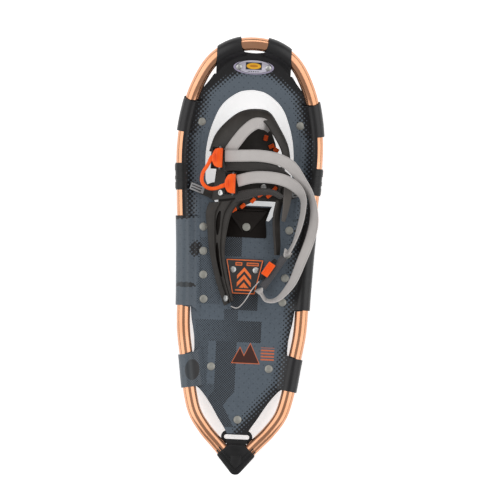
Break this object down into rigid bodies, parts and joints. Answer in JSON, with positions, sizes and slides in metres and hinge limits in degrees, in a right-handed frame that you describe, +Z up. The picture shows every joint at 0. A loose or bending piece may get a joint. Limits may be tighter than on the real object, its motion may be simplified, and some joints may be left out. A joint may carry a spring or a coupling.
{
  "type": "snowshoe",
  "caption": "Left-foot snowshoe: bent tube frame with upturned nose and V tail, riveted deck, and a pivoting strap binding over steel crampons.",
  "frame": {"origin": "middle of the shoe's outline in plan, at the height of the crampon tips that it stands on", "axes": "+Z up, +Y towards the toe, +X to the wearer's right"},
  "size_m": [0.2174, 0.6255, 0.0928],
  "materials": {
    "frame": "copper anodised, satin",
    "deck": "coated sheet with a printed dot pattern",
    "plastic": "black moulded nylon",
    "rubber": "charcoal moulded urethane",
    "orange": "bright moulded nylon",
    "webbing": "woven nylon tape",
    "steel": "stamped steel, blackened",
    "rivet": "satin rivet",
    "grip": "ribbed soft handle"
  },
  "bodies": {
    "root": {"frame_tube": "frame", "deck": "deck", "rivet_nose_right": "rivet", "rivet_nose_left": "rivet", "rivet_front_right": "rivet", "rivet_front_left": "rivet", "rivet_middle_1_right": "rivet", "rivet_middle_1_left": "rivet", "rivet_middle_2_right": "rivet", "rivet_middle_2_left": "rivet", "rivet_middle_3_right": "rivet", "rivet_middle_3_left": "rivet", "rivet_middle_4_right": "rivet", "rivet_middle_4_left": "rivet", "rivet_rear_right": "rivet", "rivet_rear_left": "rivet", "rivet_heel_right": "rivet", "rivet_heel_left": "rivet", "rivet_tongue": "rivet", "rivet_tail": "rivet", "nose_badge": "plastic", "heel_plaque": "plastic", "heel_crampon": "steel", "tail_cap": "plastic", "rail_sleeve_right": "rubber", "rail_sleeve_left": "rubber", "suspension_strap_right": "rubber", "suspension_strap_left": "rubber", "deck_apron": "rubber", "suspension_tongue": "rubber"},
    "binding": {"footbed": "plastic", "suspension_core": "rubber", "grip_rear": "orange", "grip_front": "orange", "binding_bolt_1": "steel", "binding_bolt_2": "steel", "toe_crampon": "steel", "toe_piece": "rubber", "wing_left": "rubber", "wing_right": "rubber", "heel_arm_left": "rubber", "heel_arm_right": "rubber", "toe_webbing": "webbing", "strap_front": "webbing", "strap_rear": "webbing", "pad_front": "rubber", "pad_rear": "rubber", "pull_handle": "grip", "buckle_pin_front": "steel", "buckle_base_front": "plastic", "buckle_pin_rear": "steel", "buckle_base_rear": "plastic", "heel_webbing": "webbing", "heel_buckle_body": "plastic"},
    "front_lever": {"buckle_lever_front": "orange"},
    "rear_lever": {"buckle_lever_rear": "orange"},
    "loop": {"release_loop": "orange"},
    "heel_lever": {"heel_buckle_lever": "orange"}
  },
  "joints": [
    {"name": "binding_pivot", "type": "hinge", "parent": "root", "child": "binding", "pos_m": [0, 0.092, 0.033], "axis": [-1, 0, 0], "range_deg": [0, 38], "stiffness_Nm_per_rad": 0.8},
    {"name": "front_lever_hinge", "type": "hinge", "parent": "binding", "child": "front_lever", "pos_m": [-0.042, 0.139, 0.08], "axis": [0, 1, 0], "range_deg": [0, 55]},
    {"name": "rear_lever_hinge", "type": "hinge", "parent": "binding", "child": "rear_lever", "pos_m": [-0.022, 0.103, 0.08], "axis": [0, 1, 0], "range_deg": [0, 55]},
    {"name": "loop_hinge", "type": "hinge", "parent": "front_lever", "child": "loop", "pos_m": [-0.0595, 0.139, 0.08], "axis": [0, 1, 0], "range_deg": [-55, 0]},
    {"name": "heel_lever_hinge", "type": "hinge", "parent": "binding", "child": "heel_lever", "pos_m": [0.02912, -0.02457, 0.0505], "axis": [0.8406, -0.5417, 0], "range_deg": [0, 60]}
  ],
  "couplings": [
    {"joint": "rear_lever_hinge", "follows": "front_lever_hinge", "ratio": 1},
    {"joint": "loop_hinge", "follows": "front_lever_hinge", "ratio": -1}
  ]
}
